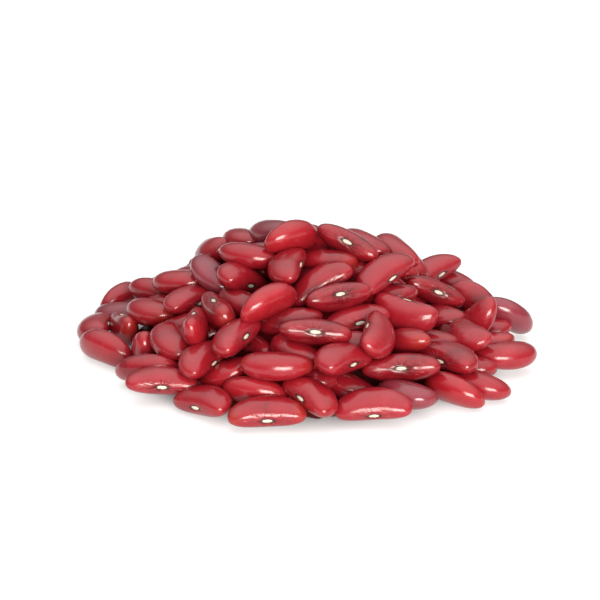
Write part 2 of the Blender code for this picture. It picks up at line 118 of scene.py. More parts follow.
# Back to front, so that each bean comes to rest against those already there
SEEN_BEANS = (
    Seen(456, 288, -35, 25, 165, 0.0165),
    Seen(446, 281, -20, 30, 165, 0.0165),
    Seen(404, 265, -50, 45, 165, 0.0160, 0.0010),
    Seen(391, 254, -25, 66, 165, 0.0165),
    Seen(363, 247, -20, 50, 165, 0.0165),
    Seen(267, 237, 5, 52, 165, 0.0165),
    Seen(217, 257, 35, 66, 165, 0.0160, 0.0012),
    Seen(195, 275, 20, 38, 165, 0.0160),
    Seen(262, 252, 5, 20, -165, 0.0165),
    Seen(242, 243, 0, 80, 175, 0.0160, 0.0010),
    Seen(296, 238, 15, -36, -140, 0.0165),
    Seen(347, 245, -27, 8, 2, 0.0170),
    Seen(226, 262, 20, 35, 165, 0.0160, 0.0020),
    Seen(325, 262, -3, 30, 170, 0.0165, 0.0025),
    Seen(395, 262, -35, 40, 165, 0.0160, 0.0020),
    Seen(180, 282, 3, 32, 170, 0.0165),
    Seen(213, 281, -40, 38, 140, 0.0165),
    Seen(249, 256, -5, 22, 172, 0.0165),
    Seen(285, 267, 74, -52, -60, 0.0170, 0.0012),
    Seen(125, 302, 28, -38, -150, 0.0165),
    Seen(155, 293, -5, 28, -160, 0.0165),
    Seen(121, 315, 10, 40, 165, 0.0160, 0.0010),
    Seen(161, 306, 10, 45, 165, 0.0160, 0.0030),
    Seen(190, 298, 30, -35, -32, 0.0172, 0.0012),
    Seen(240, 279, -3, -52, -30, 0.0170),
    Seen(237, 304, -30, 40, 160, 0.0160, 0.0020),
    Seen(349, 275, 35, 46, -150, 0.0160, 0.0050),
    Seen(319, 282, 33, -8, -35, 0.0172),
    Seen(270, 301, 25, -40, -140, 0.0172),
    Seen(379, 272, 35, -38, -42, 0.0172),
    Seen(431, 272, 21, -44, -30, 0.0168),
    Seen(444, 292, -32, 22, 160, 0.0172, 0.0020),
    Seen(432, 291, -27, -14, 5, 0.0168),
    Seen(383, 297, 5, 20, 170, 0.0165, 0.0025),
    Seen(337, 299, 20, -22, 5, 0.0170),
    Seen(506, 318, -35, -40, -150, 0.0165),
    Seen(479, 309, -55, 10, -100, 0.0172, 0.0010),
    Seen(479, 333, 20, 35, 165, 0.0160, 0.0040),
    Seen(475, 323, 48, 46, 140, 0.0165),
    Seen(150, 312, -12, 56, 155, 0.0168),
    Seen(95, 328, 55, -74, -35, 0.0165),
    Seen(124, 330, -35, 72, 45, 0.0165),
    Seen(178, 326, 10, 40, 165, 0.0165, 0.0030),
    Seen(223, 314, -72, 66, -5, 0.0160, 0.0008),
    Seen(197, 329, 62, -70, 35, 0.0165),
    Seen(287, 322, 8, 25, 170, 0.0168, 0.0015),
    Seen(354, 319, 14, -20, -20, 0.0168, 0.0020),
    Seen(439, 317, -20, 50, 140, 0.0165, 0.0020),
    Seen(404, 316, -18, 18, 76, 0.0168),
    Seen(482, 347, 10, 30, 165, 0.0160, 0.0030),
    Seen(428, 342, -5, 44, 165, 0.0165, 0.0050),
    Seen(407, 341, 0, 80, 178, 0.0160, 0.0020),
    Seen(143, 352, 75, 78, 165, 0.0160, 0.0065),
    Seen(168, 343, -45, 55, 130, 0.0172),
    Seen(257, 348, -10, 45, 20, 0.0165, 0.0030),
    Seen(231, 333, 52, -45, -38, 0.0172),
    Seen(315, 335, -5, -2, 2, 0.0172),
    Seen(376, 339, 65, -55, 62, 0.0175),
    Seen(463, 336, -35, 64, 120, 0.0172),
    Seen(506, 355, 8, -28, 155, 0.0165),
    Seen(107, 348, -22, 32, -140, 0.0172),
    Seen(318, 357, 30, 45, 165, 0.0160, 0.0050),
    Seen(295, 353, -35, 38, 150, 0.0165, 0.0008),
    Seen(340, 357, 25, -53, -42, 0.0172, 0.0015),
    Seen(451, 358, -20, 38, -27, 0.0172),
    Seen(466, 366, -10, 44, 165, 0.0160, 0.0030),
    Seen(148, 367, 5, 15, -155, 0.0168),
    Seen(200, 358, 35, -48, -46, 0.0172),
    Seen(306, 378, 0, 50, 165, 0.0160, 0.0045),
    Seen(276, 367, -3, 5, 165, 0.0172),
    Seen(401, 367, 1, 0, -4, 0.0186),
    Seen(476, 384, -20, 27, 170, 0.0165),
    Seen(220, 377, 25, 35, 160, 0.0165, 0.0025),
    Seen(340, 386, -12, 35, 170, 0.0160, 0.0020),
    Seen(162, 380, 0, 0, -24, 0.0172),
    Seen(403, 394, -12, 32, 165, 0.0165, 0.0010),
    Seen(257, 391, -6, 10, -155, 0.0165),
    Seen(452, 389, -18, 36, -160, 0.0165),
    Seen(206, 401, -8, 42, -32, 0.0165),
    Seen(314, 396, -40, 46, -38, 0.0168, 0.0008),
    Seen(267, 411, 3, 0, -35, 0.0180),
    Seen(373, 404, 4, 0, -45, 0.0178),
)

# How beans that overlap are eased apart
EASING_TURNS = 240
EASING_GAIN = 1.3
EASING_HOLD = 0.20
HOLD_SHARE = 0.8
SETTLING = 0.0001
TURNING_INERTIA = 0.000018
PAIRING_TURNS = 10
NEAR_LENGTHS = 1.15

# Beans that the picture hides close the sides and the back, wherever a trial one finds room
HIDDEN_TRIALS = 900
HIDDEN_RADIUS = 0.0535
HIDDEN_DEPTH = 0.0036
HIDDEN_OVERLAP = 0.0020
SIGHT_STEPS = np.arange(0.012, 0.12, 0.001)
SIGHT_RISE = 0.6
SIGHT_COVER = 1.2

# How such a bean lies: its tilt on the ground, the spread of its tilt and roll, its length
GROUND_TILT = 0.2
TILT_SPREAD = 0.16
ROLL_SPREAD = 0.35
LENGTH_RANGE = (0.92, 1.02)


class Pose(NamedTuple):
    """A bean's middle, its length's direction, its hilum's direction, and its length."""
    middle: np.ndarray
    axis: np.ndarray
    hilum: np.ndarray
    length: float


def unit(vector):
    return vector / np.linalg.norm(vector)


def mound_height(distance, depth):
    """Height of the heap's surface at a distance from its middle, less a depth of beans."""
    rounded = np.hypot(distance, CROWN_RADIUS) - CROWN_RADIUS
    return HEAP_HEIGHT - depth * np.hypot(1.0, HEAP_SLOPE) - HEAP_SLOPE * rounded


def end_taper(stations):
    """How full a bean is at stations from -1 to 1 of its length."""
    return (1.0 - np.abs(stations) ** END_BLUNTNESS) ** (1.0 / END_BLUNTNESS)


def bow(stations):
    """How far the bean's bent middle line stands towards its hilum side."""
    return BEAN_BOW * (BOW_CURVE * stations ** 2 - BOW_OFFSET)


def contact_balls(pose):
    """Two rows of balls inside a bean, side by side across its width, and their radii."""
    taper = end_taper(BALL_STATIONS) * BALL_SCALE
    radii = taper * BEAN_THICKNESS / 2
    along = BALL_STATIONS * pose.length / 2 * BALL_REACH
    rows = []
    for side in (-1.0, 1.0):
        across = bow(BALL_STATIONS) + side * taper * (BEAN_WIDTH - BEAN_THICKNESS) / 2
        rows.append(pose.middle + along[:, None] * pose.axis + across[:, None] * pose.hilum)
    return np.concatenate(rows), np.tile(radii, 2)


def travel_to_laid(balls, radii, direction, laid_balls, laid_radii):
    """How far balls move along a direction before one of them touches a ball of a laid bean."""
    offset = laid_balls[None, :, :] - balls[:, None, :]
    ahead = offset @ direction
    beside = np.einsum("ijk,ijk->ij", offset, offset) - ahead ** 2
    reach = (radii[:, None] + laid_radii[None, :]) ** 2
    meets = (beside < reach) & (ahead > 0.0)
    travel = np.where(meets, ahead - np.sqrt(np.maximum(reach - beside, 0.0)), np.inf)
    return float(travel.min(initial=np.inf))


def travel_to_shell(point, direction, depth):
    """How far a point moves to a shell that lies a depth under the heap's surface, or to its
    nearest approach where its way passes over the heap."""
    steps = np.arange(0.0, VIEW_DISTANCE, SHELL_STEP)
    way = point + steps[:, None] * direction
    distance = np.hypot(way[:, 0], way[:, 1])
    gap = way[:, 2] - np.maximum(mound_height(distance, depth), LOWEST_MIDDLE)
    stops = (gap[:-1] <= 0.0) | (np.diff(gap) > 0.0)
    return float(steps[np.argmax(stops)])


class Heap:
    """The beans laid so far, and the balls that stand for them."""

    def __init__(self):
        self.poses = []
        self.balls = np.zeros((0, 3))
        self.radii = np.zeros(0)

    def keep(self, pose):
        balls, radii = contact_balls(pose)
        self.poses.append(pose)
        self.balls = np.concatenate((self.balls, balls))
        self.radii = np.concatenate((self.radii, radii))


VIEW_ALONG = np.array([0.0, np.cos(VIEW_ELEVATION), -np.sin(VIEW_ELEVATION)])
VIEW_RIGHT = np.array([1.0, 0.0, 0.0])
VIEW_UP = np.cross(VIEW_RIGHT, VIEW_ALONG)
EYE_POINT = AIM_POINT - VIEW_DISTANCE * VIEW_ALONG


def sight_line(x, y):
    """Direction from the eye point through a pixel of the picture."""
    right = (x - PICTURE_MIDDLE) / PICTURE_FOCAL
    up = (PICTURE_MIDDLE - y) / PICTURE_FOCAL
    return unit(VIEW_ALONG + right * VIEW_RIGHT + up * VIEW_UP)


def seen_pose(seen):
    """A seen bean's pose, still near the eye point on its line of sight."""
    sight = sight_line(seen.x, seen.y)
    toward = -sight
    right = unit(np.cross(VIEW_UP, toward))
    up = np.cross(toward, right)
    along, lean, eye = np.radians([seen.along, seen.lean, seen.eye])
    flat = np.cos(along) * right + np.sin(along) * up
    side = np.cos(along) * up - np.sin(along) * right
    axis = np.cos(lean) * flat + np.sin(lean) * toward
    facing = np.cos(lean) * toward - np.sin(lean) * flat
    hilum = np.cos(eye) * facing + np.sin(eye) * side
    return Pose(EYE_POINT + SIGHT_START * VIEW_DISTANCE * sight, axis, hilum, seen.length), sight


def seen_heap():
    """The seen beans, each between the heap's outer and inner shell on its line of sight,
    and as far back there as the beans behind it allow."""
    heap = Heap()
    for seen in SEEN_BEANS:
        pose, sight = seen_pose(seen)
        balls, radii = contact_balls(pose)
        outer = travel_to_shell(pose.middle, sight, OUTER_DEPTH + seen.deeper)
        inner = travel_to_shell(pose.middle, sight, INNER_DEPTH + seen.deeper)
        touch = travel_to_laid(balls, radii, sight, heap.balls, heap.radii)
        travel = min(max(touch, outer), inner)
        heap.keep(pose._replace(middle=pose.middle + travel * sight))
    return heap


def near_pairs(middles):
    first, second = np.triu_indices(len(middles), 1)
    apart = np.linalg.norm(middles[first] - middles[second], axis=1)
    near = apart < NEAR_LENGTHS * BEAN_LENGTH
    return first[near], second[near]


def bean_contacts(middles, balls, radii, pairs):
    """Overlaps of beans with each other: the bean, the arm from its middle to the touching
    ball, the way out, and how far out it is to go."""
    first, second = pairs
    gap = balls[second][:, None, :, :] - balls[first][:, :, None, :]
    apart = np.sqrt(np.einsum("pijk,pijk->pij", gap, gap))
    overlap = radii[first][:, :, None] + radii[second][:, None, :] - apart
    pair, ball_a, ball_b = np.nonzero(overlap > 0.0)
    way = gap[pair, ball_a, ball_b] / apart[pair, ball_a, ball_b][:, None]
    depth = overlap[pair, ball_a, ball_b] / 2
    bean_a, bean_b = first[pair], second[pair]
    bean = np.concatenate((bean_a, bean_b))
    touching = np.concatenate((balls[bean_a, ball_a], balls[bean_b, ball_b]))
    return bean, touching - middles[bean], np.concatenate((-way, way)), np.tile(depth, 2)


def support_contacts(middles, balls, radii):
    """Overlaps of beans with the bed under them and with the ground, in the same terms."""
    distance = np.hypot(balls[:, :, 0], balls[:, :, 1])
    slope = HEAP_SLOPE * distance / np.hypot(distance, CROWN_RADIUS)
    steep = np.hypot(1.0, slope)
    into_bed = radii - (balls[:, :, 2] - mound_height(distance, BED_DEPTH)) / steep
    into_ground = radii / BALL_SCALE + GROUND_CLEARANCE - balls[:, :, 2]
    bean, ball = np.nonzero(into_bed > 0.0)
    outward = balls[bean, ball, :2] / np.maximum(distance[bean, ball], GROUND_CLEARANCE)[:, None]
    bed_way = np.column_stack((outward * slope[bean, ball][:, None], np.ones(len(bean))))
    bed_way /= steep[bean, ball][:, None]
    ground_bean, ground_ball = np.nonzero(into_ground > 0.0)
    ground_way = np.tile([0.0, 0.0, 1.0], (len(ground_bean), 1))
    depth = np.concatenate((into_bed[bean, ball], into_ground[ground_bean, ground_ball]))
    bean = np.concatenate((bean, ground_bean))
    touching = balls[bean, np.concatenate((ball, ground_ball))]
    return bean, touching - middles[bean], np.concatenate((bed_way, ground_way)), depth


def ease_apart(lines):
    """Moves and turns overlapping beans apart a little at a time, and draws each back to its
    line and towards the way it lay. A line is a bean's pose, and the way it may slide."""
    poses = [pose for pose, _ in lines]
    ways = np.array([way for _, way in lines])
    starts = np.array([pose.middle for pose in poses])
    middles = starts.copy()
    frames = np.array([[pose.axis, pose.hilum, np.cross(pose.axis, pose.hilum)] for pose in poses])
    drawn_frames = frames.copy()
    radii = np.array([contact_balls(pose)[1] for pose in poses])
    local = np.array([(contact_balls(pose)[0] - pose.middle) @ frame.T
                      for pose, frame in zip(poses, frames)])
    for turn in range(EASING_TURNS):
        if turn % PAIRING_TURNS == 0:
            pairs = near_pairs(middles)
        balls = middles[:, None, :] + np.einsum("nbi,nij->nbj", local, frames)
        found = zip(bean_contacts(middles, balls, radii, pairs), support_contacts(middles, balls, radii))
        bean, arm, way, depth = [np.concatenate(both) for both in found]
        lever = np.cross(arm, way)
        push = depth / (1.0 + np.einsum("ij,ij->i", lever, lever) / TURNING_INERTIA)
        shift = np.zeros_like(middles)
        spin = np.zeros_like(middles)
        np.add.at(shift, bean, push[:, None] * way)
        np.add.at(spin, bean, push[:, None] * lever / TURNING_INERTIA)
        share = EASING_GAIN / np.maximum(np.bincount(bean, minlength=len(poses)), 1)
        hold = EASING_HOLD * max(0.0, 1.0 - turn / (HOLD_SHARE * EASING_TURNS))
        middles += share[:, None] * shift
        slid = np.einsum("ij,ij->i", middles - starts, ways)
        middles += hold * (starts + slid[:, None] * ways - middles) + SETTLING * hold * ways
        frames = frames + np.cross((share[:, None] * spin)[:, None, :], frames)
        frames += hold * (drawn_frames - frames)
        frames[:, 0] /= np.linalg.norm(frames[:, 0], axis=1)[:, None]
        frames[:, 1] -= np.einsum("ij,ij->i", frames[:, 0], frames[:, 1])[:, None] * frames[:, 0]
        frames[:, 1] /= np.linalg.norm(frames[:, 1], axis=1)[:, None]
        frames[:, 2] = np.cross(frames[:, 0], frames[:, 1])
    return [Pose(middle, frame[0], frame[1], pose.length)
            for middle, frame, pose in zip(middles, frames, poses)]


def resting_pose(draw, turn, radius):
    """A bean that lies about as flat as the slope below it, its heading drawn, and the way
    it may slide: down the slope, or inwards where it lies on the ground."""
    height = max(mound_height(radius, HIDDEN_DEPTH), LOWEST_MIDDLE)
    tilt = HEAP_SLOPE * radius / np.hypot(radius, CROWN_RADIUS)
    tilt *= 1.0 if height > LOWEST_MIDDLE else GROUND_TILT
    outward = np.array([np.cos(turn), np.sin(turn), 0.0])
    slope_up = np.array([0.0, 0.0, 1.0]) + tilt * outward
    normal = unit(unit(slope_up) + draw.normal(0.0, TILT_SPREAD, 3))
    heading = draw.uniform(0.0, 2.0 * np.pi)
    level = np.array([np.cos(heading), np.sin(heading), 0.0])
    axis = unit(level - (level @ normal) * normal)
    roll = draw.normal(0.0, ROLL_SPREAD)
    hilum = np.cos(roll) * np.cross(normal, axis) + np.sin(roll) * normal
    middle = radius * outward + np.array([0.0, 0.0, height])
    sliding = unit(outward - np.array([0.0, 0.0, tilt])) if height > LOWEST_MIDDLE else -outward
    return Pose(middle, axis, hilum, BEAN_LENGTH * draw.uniform(*LENGTH_RANGE)), sliding


def has_room(pose, heap, most):
    """Whether a bean overlaps the laid ones by no more than a length."""
    balls, radii = contact_balls(pose)
    apart = np.linalg.norm(heap.balls[None, :, :] - balls[:, None, :], axis=2)
    return (radii[:, None] + heap.radii[None, :] - apart).max() < most


def is_hidden(pose, seen):
    """Whether the heap or the seen beans hide a bean from the eye point."""
    balls, radii = contact_balls(pose)
    for point in balls + SIGHT_RISE * radii[:, None] * np.array([0.0, 0.0, 1.0]):
        sight = unit(EYE_POINT - point)
        way = point + SIGHT_STEPS[:, None] * sight
        inside = way[:, 2] < mound_height(np.hypot(way[:, 0], way[:, 1]), OUTER_DEPTH)
        offset = seen.balls - point
        ahead = offset @ sight
        beside = np.einsum("ij,ij->i", offset, offset) - ahead ** 2
        blocked = (ahead > 0.0) & (beside < (SIGHT_COVER * seen.radii) ** 2)
        if not inside.any() and not blocked.any():
            return False
    return True


def hidden_lines(seen):
    """Beans where the seen ones hide them, in a spiral from the top, and how they may slide."""
    draw = np.random.default_rng(RANDOM_SEED)
    heap = Heap()
    for pose in seen.poses:
        heap.keep(pose)
    lines = []
    for trial in range(HIDDEN_TRIALS):
        radius = HIDDEN_RADIUS * np.sqrt((trial + 0.5) / HIDDEN_TRIALS)
        pose, sliding = resting_pose(draw, trial * GOLDEN_ANGLE, radius)
        if has_room(pose, heap, HIDDEN_OVERLAP) and is_hidden(pose, seen):
            heap.keep(pose)
            lines.append((pose, sliding))
    return lines


def laid_beans():
    """All the beans that the heap shows from any side, the seen ones first, without those
    that easing apart brings into view."""
    seen = seen_heap()
    lines = [(pose, sight_line(bean.x, bean.y)) for pose, bean in zip(seen.poses, SEEN_BEANS)]
    poses = ease_apart(lines + hidden_lines(seen))
    eased_seen = Heap()
    for pose in poses[:len(lines)]:
        eased_seen.keep(pose)
    return eased_seen.poses + [pose for pose in poses[len(lines):] if is_hidden(pose, eased_seen)]


# Beans deeper in the heap: some close hollows on the sides that the picture doesn't show, and
# those below show only through the gaps between the ones above
LAYER_TRIALS = 900
LAYER_RADIUS = 0.0420
FILLING_DEPTH = 0.0073
FILLING_OVERLAP = 0.0017
FILLING_SEED = 31
UNDER_DEPTH = 0.0095
UNDER_OVERLAP = 0.0026
UNDER_SEED = 23

# The mesh of a bean that shows, and of one deeper in the heap
FINE_STATIONS, FINE_SIDES = 32, 28
COARSE_STATIONS, COARSE_SIDES = 18, 14
DENSER_AT_HILUM = 0.6
FLAT_SIDE_BLUNTNESS = 2.15

# How beans differ: shares of the one thickness and width above, how square a section is,
# how much fuller one end may be, and how far the length leans to the hilum side
PLUMP_RANGE = (0.98, 1.08)
BROAD_RANGE = (1.02, 1.09)
SQUARENESS_RANGE = (2.05, 2.35)
FULLER_END_RANGE = (-0.05, 0.05)
LEAN_SPREAD = 0.05

# The scar at the hilum, in millimetres, and the rings of its edge, groove and lip, as shares
# of the scar's own half size
SCAR_HALF_LENGTH = 1.20
SCAR_HALF_WIDTH = 0.44
SCAR_RISE = 0.10
SCAR_SHOULDER = 0.5
GROOVE_DEPTH = 0.16
GROOVE_RING = 1.25
GROOVE_SPREAD = 0.35
LIP_RISE = 0.12
LIP_RING = 2.2
LIP_SPREAD = 0.7
DENT_DEPTH = 0.20
DENT_HALF_LENGTH = 4.2
DENT_HALF_WIDTH = 2.6

# Seen beans, by their place in the table: with a mauve bloom that is partly painted sheen, of a
# brighter red, with orange ends, with deep wrinkles round the hilum, and with a maroon tint
MAUVE_SHEEN_BEANS = (5, 8, 16, 21, 35, 75)
BRIGHT_BEANS = (10, 14, 28, 44, 72, 76, 77, 79)
ORANGE_ENDED = (39, 41, 51, 80)
WRINKLED_BEANS = (11, 27, 32, 34, 43, 56, 64, 70, 74)
MAROON_BEANS = (11, 32, 34, 43, 45, 56, 64, 70)

METRES_TO_MM = 1000.0

# The skin's noise, in cells for each millimetre, that of the wrinkles, in cells round the scar,
# and what sets one bean's noise off another's
CLOUD_SCALE = 0.22
MOTTLE_SCALE = 1.1
PIT_SCALE = 2.6
DIMPLE_SCALE = 0.7
RAY_SCALE = 4.5
SPOT_SHIFT = (37.0, 91.0, 53.0)
RAY_SHIFT = (11.0, 17.0, 29.0)

# Where the skin's colours pass into each other: shades, millimetres, and rings round the scar
CLOUD_SHARE = 0.7
MOTTLE_SHARE = 0.3
TINT_GAIN = 0.24
TINT_OFFSET = -0.12
MIDDLE_SHADES = (0.15, 0.48)
LIGHT_SHADES = (0.5, 0.85)
ORANGE_SPAN = (4.5, 8.5)
ORANGE_SHARE = 0.40
HILUM_SIDE = (1.0, 2.0)
WRINKLED_RINGS = (1.6, 6.0)
RAY_EDGE = (0.52, 0.62)
GROOVE_SHADE_SHARE = 0.6
RAGGEDNESS = 0.5
RIM_RINGS = (1.25, 2.0)
RIM_SHARE = 0.92
SCAR_RINGS = (0.85, 1.05)

# The skin's wax and its fine relief, in millimetres
SKIN_ROUGHNESS = 0.16
MOTTLE_ROUGHNESS = 0.12
RIM_ROUGHNESS = 0.20
PIT_HEIGHT = 0.006
DIMPLE_HEIGHT = 0.05
STREAK_DEPTH = 0.18
RELIEF_STRENGTH = 0.8

ORANGE = (0.26, 0.024, 0.013, 1.0)
GROOVE_SHADE_BROWN = (0.10, 0.012, 0.014, 1.0)
RIM_BROWN = (0.035, 0.008, 0.009, 1.0)
DARK_CREAM = (0.46, 0.37, 0.27, 1.0)
LIGHT_CREAM = (0.74, 0.68, 0.56, 1.0)

# For each kind of bean: how strongly its wax reflects, and its dark, middle and light skin
SKIN_LOOKS = {
    "red": (0.46, (0.105, 0.003, 0.006, 1.0), (0.205, 0.0065, 0.012, 1.0), (0.26, 0.014, 0.022, 1.0)),
    "bright": (0.46, (0.13, 0.004, 0.006, 1.0), (0.23, 0.007, 0.012, 1.0), (0.28, 0.014, 0.020, 1.0)),
    # The mauve skin's pale grey veil is partly painted sheen, the overhead light's reflection laid into
    # its colour
    "mauve": (0.52, (0.09, 0.007, 0.012, 1.0), (0.16, 0.018, 0.028, 1.0), (0.20, 0.036, 0.048, 1.0)),
    # The deep skin is painted shade: near-black and dull, for the beans that show only in the gaps
    "deep": (0.10, (0.03, 0.001, 0.002, 1.0), (0.05, 0.002, 0.003, 1.0), (0.07, 0.004, 0.005, 1.0)),
}

# How the traits and kinds of the beans that no list names are drawn, and the maroon tint
ORANGE_ABOVE = 0.92
STRONG_ORANGE = 0.7
FAINT_ORANGE = 0.05
LEAST_WRINKLE = 0.25
WRINKLE_SPREAD = 0.4
MAROON_TINT = -0.12
OTHER_KIND_SHARE = 0.12
MOST_UNDER_TRAIT = 0.4
UNDER_SHAPE_SEED = 9

# The dark middle of the heap, painted shade: dark red cells that stand in for the shadow between the
# beans
CORE_RINGS = 8
CORE_SIDES = 48
CORE_CELLS = 160.0
CORE_ROUGHNESS = 0.6
CORE_SHADE_DARK = (0.030, 0.004, 0.005, 1.0)
CORE_SHADE_RED = (0.14, 0.012, 0.014, 1.0)


def lower_layer(laid, depth, overlap, seed, screen=None):
    """Beans a depth under the heap's surface, wherever a trial one finds room below the laid
    ones and, with a screen of beans, is hidden by it from the eye point."""
    draw = np.random.default_rng(seed)
    heap = Heap()
    for pose in laid:
        heap.keep(pose)
    kept = []
    for trial in range(LAYER_TRIALS):
        radius = LAYER_RADIUS * np.sqrt((trial + 0.5) / LAYER_TRIALS)
        pose, _ = resting_pose(draw, trial * GOLDEN_ANGLE, radius)
        pose.middle[2] = max(mound_height(radius, depth), LOWEST_MIDDLE)
        if has_room(pose, heap, overlap) and (screen is None or is_hidden(pose, screen)):
            heap.keep(pose)
            kept.append(pose)
    return kept


def eased_grid(count):
    """Values from -1 to 1, closer together in the middle."""
    even = np.linspace(-1.0, 1.0, count)
    return even - DENSER_AT_HILUM / np.pi * np.sin(np.pi * even)


def smooth_step(low, high, value):
    share = np.clip((value - low) / (high - low), 0.0, 1.0)
    return share * share * (3.0 - 2.0 * share)


def hilum_relief(along, across):
    """Height in millimetres over the bean's skin at places in millimetres from its hilum."""
    ring = np.hypot(along / SCAR_HALF_LENGTH, across / SCAR_HALF_WIDTH)
    scar = SCAR_RISE * (1.0 - smooth_step(SCAR_SHOULDER, 1.0, ring))
    groove = -GROOVE_DEPTH * np.exp(-((ring - GROOVE_RING) / GROOVE_SPREAD) ** 2)
    lip = LIP_RISE * np.exp(-((ring - LIP_RING) / LIP_SPREAD) ** 2)
    dent = -DENT_DEPTH * np.exp(-(along / DENT_HALF_LENGTH) ** 2 - (across / DENT_HALF_WIDTH) ** 2)
    return scar + groove + lip + dent


def bean_shape(pose, stations_count, sides_count, draw):
    """A bean's points, its faces, and each point's place from the bean's middle in millimetres
    along its length, through its flat sides and towards its hilum."""
    stations = np.sin(np.pi / 2 * eased_grid(stations_count + 2)[1:-1])
    turns = np.pi * eased_grid(sides_count + 1)[:-1]
    fuller_end = draw.uniform(*FULLER_END_RANGE)
    plump = draw.uniform(*PLUMP_RANGE)
    broad = draw.uniform(*BROAD_RANGE)
    squareness = draw.uniform(*SQUARENESS_RANGE)
    taper = end_taper(stations) * (1.0 + fuller_end * stations)
    cosine, sine = np.cos(turns), np.sin(turns)
    rounding = (np.abs(cosine) ** squareness + np.abs(sine) ** squareness) ** (-1.0 / squareness)
    across = broad * BEAN_WIDTH / 2 * taper[:, None] * (rounding * cosine)[None, :]
    thinning = (1.0 - np.abs(stations) ** FLAT_SIDE_BLUNTNESS) ** (1.0 / FLAT_SIDE_BLUNTNESS)
    thinning = thinning * (1.0 + fuller_end * stations)
    through = plump * BEAN_THICKNESS / 2 * thinning[:, None] * (rounding * sine)[None, :]
    along = np.repeat((stations * pose.length / 2)[:, None], sides_count, axis=1)
    lean = draw.normal(0.0, LEAN_SPREAD)
    across = across + bow(stations)[:, None] + lean * along
    facing = (cosine > 0.0)[None, :] * np.ones_like(along)
    relief = facing * hilum_relief(along * METRES_TO_MM, through * METRES_TO_MM) / METRES_TO_MM
    across = across + relief
    local = np.stack((along, through, across), axis=2).reshape(-1, 3)
    tip = bow(np.array([-1.0, 1.0]))
    ends = np.array([[-pose.length / 2, 0.0, tip[0] - lean * pose.length / 2],
                     [pose.length / 2, 0.0, tip[1] + lean * pose.length / 2]])
    local = np.concatenate((local, ends))
    normal = np.cross(pose.axis, pose.hilum)
    points = pose.middle + local @ np.array([pose.axis, normal, pose.hilum])
    points[:, 2] = np.maximum(points[:, 2], GROUND_CLEARANCE)
    faces = []
    last = (stations_count - 1) * sides_count
    low_tip, high_tip = len(points) - 2, len(points) - 1
    for side in range(sides_count):
        beside = (side + 1) % sides_count
        for ring in range(0, last, sides_count):
            faces.append((ring + side, ring + beside, ring + sides_count + beside,
                          ring + sides_count + side))
        faces.append((low_tip, beside, side))
        faces.append((high_tip, last + side, last + beside))
    return points, faces, local * METRES_TO_MM


def add_object(name, data):
    thing = bpy.data.objects.new(name, data)
    bpy.context.scene.collection.objects.link(thing)
    return thing


def smooth_mesh(name, points, faces):
    mesh = bpy.data.meshes.new(name)
    mesh.from_pydata(points, [], faces)
    mesh.polygons.foreach_set("use_smooth", [True] * len(mesh.polygons))
    mesh.update()
    return mesh


def joined_piece(name, poses, traits, stations_count, sides_count, seed):
    """Many beans as one smooth mesh, with each point's place on its bean and the bean's traits."""
    draw = np.random.default_rng(seed)
    all_points, all_faces, places, all_traits = [], [], [], []
    count = 0
    for pose, trait in zip(poses, traits):
        points, faces, place = bean_shape(pose, stations_count, sides_count, draw)
        all_faces += [tuple(count + corner for corner in face) for face in faces]
        all_points.append(points)
        places.append(place)
        all_traits.append(np.tile(trait, (len(points), 1)))
        count += len(points)
    mesh = smooth_mesh(name, np.concatenate(all_points).tolist(), all_faces)
    for label, rows in (("place", places), ("traits", all_traits)):
        attribute = mesh.attributes.new(label, "FLOAT_VECTOR", "POINT")
        attribute.data.foreach_set("vector", np.concatenate(rows).astype(np.float32).ravel())
    return add_object(name, mesh)


def core_piece():
    """The dark middle of the heap, under its lowest layer of beans that shows; its colour is painted
    shade.
    """
    rings, sides = CORE_RINGS, CORE_SIDES
    radii = [CORE_RADIUS * step / rings for step in range(rings, 0, -1)]
    heights = [max(mound_height(radius, CORE_DEPTH), 2 * GROUND_CLEARANCE) for radius in radii]
    points = []
    for radius, height in [(CORE_RADIUS, GROUND_CLEARANCE)] + list(zip(radii, heights)):
        for side in range(sides):
            turn = 2.0 * np.pi * side / sides
            points.append((radius * np.cos(turn), radius * np.sin(turn), height))
    faces = [tuple(range(sides))[::-1]]
    for ring in range(0, rings * sides, sides):
        for side in range(sides):
            beside = (side + 1) % sides
            faces.append((ring + side, ring + beside, ring + sides + beside, ring + sides + side))
    points.append((0.0, 0.0, mound_height(0.0, CORE_DEPTH)))
    for side in range(sides):
        faces.append((rings * sides + side, rings * sides + (side + 1) % sides, len(points) - 1))
    return add_object("heap_middle", smooth_mesh("heap_middle", points, faces))


